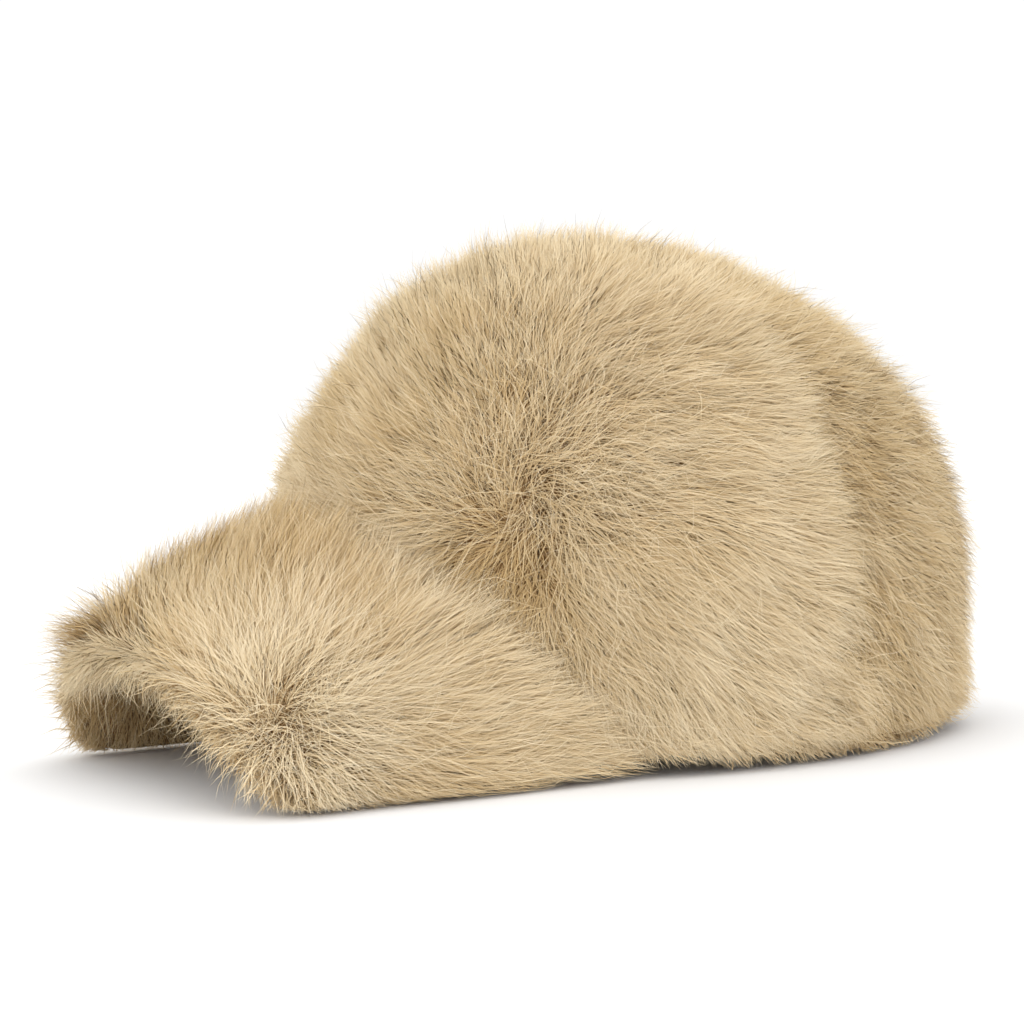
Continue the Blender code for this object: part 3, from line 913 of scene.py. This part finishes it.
# %% [markdown]
# ## The brim's board
#
# Inside the brim is a padded board, arched over the forehead and resting on its side edges.
# It has its full thickness in the middle and thins out to the sides and the front.

# %% The padded board
BOARD_TURN = 0.3
BOARD_EDGE = 0.05
BOARD_HALF_WIDTH = 95.0
BOARD_DEPTH = 80.0


def brim_board(name, columns=72, rows=28):
    """The board's closed shell: its top is the brim's surface, its underside lies lower by the
    thickness times the taper, straight down at the seam and along the normal from BOARD_TURN on."""
    forwards, sideways = np.linspace(0.0, 1.0, rows), np.linspace(-1.0, 1.0, columns)
    q, u = np.meshgrid(forwards, sideways, indexing="ij")
    top = brim(u, q)
    straight = smooth(q / BOARD_TURN)[..., None]
    down = unit(np.array([0.0, 0.0, 1.0]) * (1.0 - straight) + brim_normal(u, q) * straight)
    under = top - down * (BRIM_THICKNESS * side_taper(u, q) + BOARD_EDGE)[..., None]
    flat = np.stack([u * BOARD_HALF_WIDTH, q * BOARD_DEPTH], axis=-1) * MM
    # Seen from above, q runs forwards and u to the wearer's left, so the grid is turned over.
    return shell(name, floor_soft(under), floor_soft(top), flat, knit=0.0)


board = add_piece("brim_board", brim_board("brim_board"), BACKING_CLOTH, "brim")
print("Board:", triangles["brim_board"], "triangles")

# %% [markdown]
# ## Growing the coat
#
# Plush like this has two kinds of hair: long, pale guard hairs, and shorter, browner wool that
# fills the coat below them and lies any way. Each hair reads the marks at its root and wanders a
# little with the waves. Near a parting it leans away and is short. Hairs are then gathered into
# tufts, and a few guard hairs are left long and loose on top, more of them in untidy places.

# %% The two kinds of hair
HAIR_KINDS = (
    # share of the hairs, steps, length, width in mm, tufting, more untidiness,
    # darkest tint, palest tint, share of strays
    (0.38, 3, 1.06, 0.18, 0.8, 4.0, 0.22, 1.00, 0.12),
    (0.62, 2, 0.80, 0.28, 0.5, 13.0, 0.05, 0.75, 0.00),
)
LONGEST = 30.0


def open_partings_and_shade(points, normal, comb, coat, partings_and_shading):
    """Lean away from each parting's middle and shorten the coat there, both falling off with the
    distance, and say how much darker the hairs are: by the opened roots' brown and by painted
    shade, or, below zero, paler by painted light."""
    darker = np.zeros(len(points))
    for middle, (radius, lean, shorter, darkening) in partings_and_shading:
        away = points - middle
        distance = np.linalg.norm(away, axis=-1)
        near = np.exp(-(distance / radius) ** 2)
        comb = into_skin(comb + into_skin(away, normal) * (lean * near)[:, None], normal)
        coat = coat * (1.0 - shorter * near)
        darker = darker + darkening * near
    return comb, coat, darker


# %% How hairs stray from the marks
SWEEP, SWEEP_SIZE = 11.0, 38.0  # degrees, wavelength in mm
TUFT_TURN, TUFT_MESS, TUFT_SIZE = 5.0, 0.45, 12.0
FINE_MESS, FINE_SIZE = 0.35, 5.5
RISE_WAVE, RISE_SIZE, RISE_MESS = 4.0, 22.0, 0.4
LOWEST_RISE, HIGHEST_RISE, HIGHEST_STRAY = 16.0, 80.0, 82.0
DEPTH_WAVE, DEPTH_SIZE = 0.12, 14.0
SHORTEST, USUAL, TALLEST = 0.6, 1.0, 1.16  # share of the coat's depth
STRAY_LIFT, STRAY_TURN, STRAY_GROWTH = 26.0, 38.0, 1.35


def lie_and_rise(root, normal, comb, rise, untidy, mess, rng):
    """Turn the comb and change the rise by soft waves and, hair by hair, by chance. Whole tufts
    turn with the mark's untidiness, single hairs with that and the kind's own."""
    wander = SWEEP * waves(root, SWEEP_SIZE, 3)
    wander = wander + (TUFT_TURN + TUFT_MESS * untidy) * waves(root, TUFT_SIZE, 4)
    wander = wander + FINE_MESS * untidy * waves(root, FINE_SIZE, 9)
    comb = turned(comb, normal, wander + (untidy + mess) * rng.normal(size=len(root)))
    rise = rise + RISE_WAVE * waves(root, RISE_SIZE, 6)
    rise = rise + RISE_MESS * (untidy + mess) * rng.normal(size=len(root))
    return comb, np.clip(rise, LOWEST_RISE, HIGHEST_RISE)


def stray_hairs(root, normal, comb, rise, reach, curl, steps, rng):
    """Hairs left loose: each stands higher by chance, lies another way and curls twice as much."""
    count = len(root)
    rise = np.clip(rise + rng.uniform(0.0, STRAY_LIFT, count), LOWEST_RISE, HIGHEST_STRAY)
    length = reach * rng.uniform(1.0, STRAY_GROWTH, count) / np.sin(np.radians(rise))
    comb = turned(comb, normal, STRAY_TURN * rng.normal(size=count))
    return hair_curves(root, normal, comb, rise, np.minimum(length, LONGEST), 2.0 * curl, steps)


# %% A coat of one kind of hair
CURL = 28.0
SMALL_TUFT, SMALL_PULL, SMALL_POWER = 5, 0.30, 1.3  # hairs in a tuft, pull, its power
LARGE_TUFT, LARGE_PULL, LARGE_POWER = 60, 0.22, 1.6
LOOSE_LEAST, LOOSE_UNTIDY = 0.5, 12.0
TINT_OWN, TINT_SMALL, TINT_LARGE, TINT_PATCH = 0.34, 0.26, 0.16, 0.24
PATCH_SIZE = 30.0
STRAY_TINT, STRAY_TINT_SPAN, STRAY_DARKER = 0.8, 0.2, 0.7
THINNEST, THICKEST, STRAY_WIDTH = 0.75, 1.2, 0.85
LIFT_LEAST, LIFT_OWN, LIFT_TUFT = 0.2, 0.3, 0.5


def grow(kind, root, normal, comb, values, partings_and_shading, low, shift, rng):
    """Ribbons of one kind of hair: the marks' comb, rise and coat are strayed from, the hairs are
    gathered into small and then large tufts, and a few are put back as strays. A hair's tint is a
    sum of its own chance, its two tufts' and a patch's, between the kind's darkest and palest."""
    _, steps, share, width, tufting, mess, darkest, palest, strays = kind
    count = len(root)
    rise, untidy, depth = values.T
    comb, depth, darker = open_partings_and_shade(root, normal, comb, depth, partings_and_shading)
    comb, rise = lie_and_rise(root, normal, comb, rise, untidy, mess, rng)
    reach = share * depth * (1.0 + DEPTH_WAVE * waves(root, DEPTH_SIZE, 7))
    reach = reach * rng.triangular(SHORTEST, USUAL, TALLEST, count)
    length = np.minimum(reach / np.sin(np.radians(rise)), LONGEST)
    curl = CURL * rng.normal(size=count)
    curves = hair_curves(root, normal, comb, rise, length, curl, steps)
    curves, small = gather(curves, root, count // SMALL_TUFT, SMALL_PULL * tufting, SMALL_POWER)
    curves, large = gather(curves, root, count // LARGE_TUFT, LARGE_PULL * tufting, LARGE_POWER)
    loose = rng.uniform(size=count) < strays * (LOOSE_LEAST + untidy / LOOSE_UNTIDY)
    stray = stray_hairs(root, normal, comb, rise, reach, curl, steps, rng)
    curves = np.where(loose[:, None, None], stray, curves)
    own, shade = rng.uniform(size=count), rng.uniform(size=count)
    lift = low * (LIFT_LEAST + LIFT_OWN * own + LIFT_TUFT * shade[large])
    curves = clear_floor(curves, lift)
    curves = keep_inside(curves, own)
    patches = 0.5 + 0.5 * waves(root, PATCH_SIZE, 8)
    tint = TINT_OWN * own + TINT_SMALL * shade[small] + TINT_LARGE * shade[large]
    tint = tint + TINT_PATCH * patches
    # darker and shift lay painted shade or painted light on the tint, besides the roots' brown.
    tint = darkest + (palest - darkest) * tint - darker + shift
    stray_tint = STRAY_TINT + STRAY_TINT_SPAN * own - STRAY_DARKER * darker
    tint = np.clip(np.where(loose, stray_tint, tint), 0.0, 1.0)
    width = width * rng.uniform(THINNEST, THICKEST, count) * np.where(loose, STRAY_WIDTH, 1.0)
    return ribbons(curves, normal, tint, width, rng)


def coat(name, node, root, normal, comb, values, partings_and_shading, rng, low=0.5, shift=0.0):
    """Add one piece of fur with both kinds of hair, which share out the roots between them. Hairs
    that come near the floor end at heights of up to low, and shift is added to every tint: where
    it isn't zero, it is a painted shade or a painted light."""
    sets = []
    first = 0
    for kind in HAIR_KINDS:
        last = first + int(round(kind[0] * len(root)))
        part = slice(first, last)
        here = (root[part], normal[part], comb[part], values[part])
        sets.append(grow(kind, *here, partings_and_shading, low, shift, rng))
        first = last
    add_piece(name, fur_mesh(name, sets), FUR, node)


# %% The crown's fur
RIM_CLEARANCE = 9.0


def place_partings_and_shading(surface, rows, turn):
    """The middle of a parting or of a painted shade or light as a point, for the side it is seen
    on and for its mirror image.
    """
    table = np.array(rows)
    points = surface(table[:, 0] * turn, table[:, 1])
    return [(point * side, row[2:]) for point, row in zip(points, rows) for side in (1.0, MIRROR)]


crown_partings_and_shading = place_partings_and_shading(crown, CROWN_PARTINGS_AND_PAINTED_SHADING, math.pi / 180.0)
for number, (name, first, last, group, hairs, shift) in enumerate(PANELS):
    rng = np.random.default_rng(100 + number)
    low, high = math.radians(first), math.radians(last)
    theta, s = scatter(crown, (low, 0.0), (high, 0.995), hairs, rng)
    root, normal = crown(theta, s), crown_normal(theta, s)
    comb, values = read_marks(marks_for(group), root, normal)
    fur = (root, normal, comb, values, crown_partings_and_shading, rng, RIM_CLEARANCE, shift)
    coat(name + "_fur", name, *fur)
    print(name, "fur:", hairs, "hairs,", triangles[name + "_fur"], "triangles")

# %% [markdown]
# ## The brim's fur
#
# The long fur on top is brushed back over the brim, and the same plush is wrapped round the front
# edge. There the hairs stand on a half circle, from nearly upright to nearly hanging. Those of the
# upper half follow the marks, those of the lower half hang forwards and off the middle, as do the
# short hairs of the underside.

# %% Fur on top of the brim
BRIM_CLEARANCE = 2.5
brim_partings_and_shading = place_partings_and_shading(brim, BRIM_PARTINGS_AND_PAINTED_SHADING, 1.0)
# The top of the far lip gets a painted light, as its hairs turn away from the lights.
brim_partings_and_shading += place_partings_and_shading(brim, FAR_LIP_PAINTED_LIGHT, 1.0)[:1]
rng = np.random.default_rng(200)
u, q = scatter(brim, (-1.0, 0.0), (1.0, 1.0), BRIM_HAIRS_TOP, rng)
root, normal = brim(u, q), brim_normal(u, q)
comb, values = read_marks(brim_marks(), root, normal)
coat("brim_fur_top", "brim", root, normal, comb, values, brim_partings_and_shading, rng, BRIM_CLEARANCE)

# %% Fur round the front edge
EDGE_DEPTH = 0.55
# The edge fur's tint is raised by a painted light, so that its hairs that turn away from the lights
# aren't dark.
EDGE_PAINTED_LIGHT = 0.15
EDGE_MESS = 14.0
EDGE_TURN = (15.0, 175.0)
HANGING_FROM = math.radians(60.0)


def outward(u):
    """The way that fur hangs at the edge and under the brim: off the middle, forwards and down."""
    aside = 0.5 * np.clip(4.0 * u, -1.0, 1.0)
    return np.stack([aside, np.full_like(u, -0.1), np.full_like(u, -0.6)], axis=-1)


rng = np.random.default_rng(201)
u, q = scatter(brim, (-0.98, 0.96), (0.98, 1.0), BRIM_HAIRS_EDGE, rng)
top_normal = brim_normal(u, q)
turn = np.radians(rng.uniform(*EDGE_TURN, len(u)))[:, None]
normal = top_normal * np.cos(turn) + brim_axes(top_normal)[0] * np.sin(turn)
root = brim(u, np.ones_like(q)) - top_normal
comb, values = read_marks(brim_marks(), root, top_normal)
hanging = smooth((turn - HANGING_FROM) / HANGING_FROM)
comb = into_skin(comb * (1.0 - hanging) + outward(u) * hanging, normal)
values = values * np.array([1.0, 1.0, EDGE_DEPTH]) + np.array([0.0, EDGE_MESS, 0.0])
coat("brim_fur_edge", "brim", root, normal, comb, values, [], rng, BRIM_CLEARANCE, EDGE_PAINTED_LIGHT)

# %% Fur under the brim
# The underside's hairs are darkened by a painted shade, as little light reaches under the brim.
UNDER_PAINTED_SHADE = -0.5
UNDER_COMB = 0.4
UNDER_VALUES = (34.0, 18.0, 8.0)  # rise, untidiness, coat in mm
rng = np.random.default_rng(202)
u, q = scatter(brim, (-0.97, 0.06), (0.97, 1.0), BRIM_HAIRS_UNDER, rng)
normal = brim_normal(u, q)
root = brim(u, q) - normal * (BRIM_THICKNESS * side_taper(u, q))[:, None]
marked = read_marks(brim_marks(), brim(u, q), normal)[0]
comb = into_skin(outward(u) + UNDER_COMB * marked, -normal)
values = np.tile(UNDER_VALUES, (len(u), 1))
# The underside along the lip is lightened by a painted light.
under_lip_light = place_partings_and_shading(brim, UNDER_LIP_PAINTED_LIGHT, 1.0)
coat("brim_fur_under", "brim", root, -normal, comb, values, under_lip_light, rng, shift=UNDER_PAINTED_SHADE)
print("All pieces together:", sum(triangles.values()), "triangles")

# %% [markdown]
# ## Floor, light and camera
#
# The cap lies on a white studio floor, with white all round. One large soft light shines from
# above on the camera's side, and two weak ones come in low from the left and the right. The camera
# looks from the wearer's left and a little in front.

# %% Floor and light
WHITE_ROOM = 1.04
FLOOR_REACH = 4.0
FLOOR_ALBEDO = 0.9
LIGHTS = (
    # name, direction of the light, spread in degrees, power
    ("overhead", (-0.75, 0.4, -1.0), 90.0, 1.15),
    ("side_fill", (-1.0, 0.5, -0.35), 70.0, 0.3),
    ("far_fill", (1.0, 0.1, -0.3), 70.0, 0.35),
)


def floor():
    """A wide plane, split once in the middle so that it isn't one face."""
    line = np.linspace(-FLOOR_REACH, FLOOR_REACH, 3)
    x, y = np.meshgrid(line, line)
    points = np.stack([x.ravel(), y.ravel(), np.zeros(9)], axis=-1)
    index = np.arange(9).reshape(3, 3)
    corners = [index[:-1, :-1], index[:-1, 1:], index[1:, 1:], index[1:, :-1]]
    quads = np.stack(corners, -1).reshape(-1, 4)
    mesh = bpy.data.meshes.new("studio_floor")
    mesh.from_pydata(points.tolist(), [], quads.tolist())
    material, _, shader = new_material("studio_white", 0.9)
    shader.inputs["Base Color"].default_value = (FLOOR_ALBEDO, FLOOR_ALBEDO, FLOOR_ALBEDO, 1.0)
    mesh.materials.append(material)
    into_scene("studio_floor", mesh)


def soft_light(name, direction, spread, power):
    """A far light that shines along a direction from a wide disc of sky, spread in degrees."""
    light = bpy.data.lights.new(name, "SUN")
    light.angle = math.radians(spread)
    light.energy = power
    point_along(into_scene(name, light), direction)


def point_along(item, direction, roll=0.0):
    """Point a camera or light along a direction, then roll it by some degrees."""
    turn = Vector(direction).to_track_quat("-Z", "Y")
    item.rotation_mode = "QUATERNION"
    item.rotation_quaternion = turn @ Quaternion((0.0, 0.0, 1.0), math.radians(roll))


floor()
world = bpy.data.worlds.new("white_room")
bpy.context.scene.world = world
world.use_nodes = True
background = world.node_tree.nodes["Background"].inputs
background["Color"].default_value = (1.0, 1.0, 1.0, 1.0)
background["Strength"].default_value = WHITE_ROOM
for light in LIGHTS:
    soft_light(*light)
bpy.context.scene.view_settings.view_transform = "Standard"

# %% Camera
AZIMUTH = 61.0
ELEVATION = 7.1
DISTANCE = 933.6
LENS = 105.9
ROLL = -2.3
AIM_RIGHT = -31.9
AIM_UP = 71.0
SENSOR_WIDTH = 36.0


def camera():
    """A camera at an azimuth and elevation from the foot of the crown's axis, aimed at a point that
    is moved sideways and up from there."""
    azimuth, elevation = math.radians(AZIMUTH), math.radians(ELEVATION)
    level = math.cos(elevation)
    back = np.array([math.sin(azimuth) * level, -math.cos(azimuth) * level, math.sin(elevation)])
    right = np.array([math.cos(azimuth), math.sin(azimuth), 0.0])
    up = np.cross(back, right)
    place = AXIS_FOOT + back * DISTANCE
    aim = AXIS_FOOT + right * AIM_RIGHT + up * AIM_UP
    data = bpy.data.cameras.new("photo_camera")
    data.lens = LENS
    data.sensor_width = SENSOR_WIDTH
    item = into_scene("photo_camera", data)
    item.location = place * MM
    point_along(item, (aim - place).tolist(), ROLL)
    bpy.context.scene.camera = item


camera()
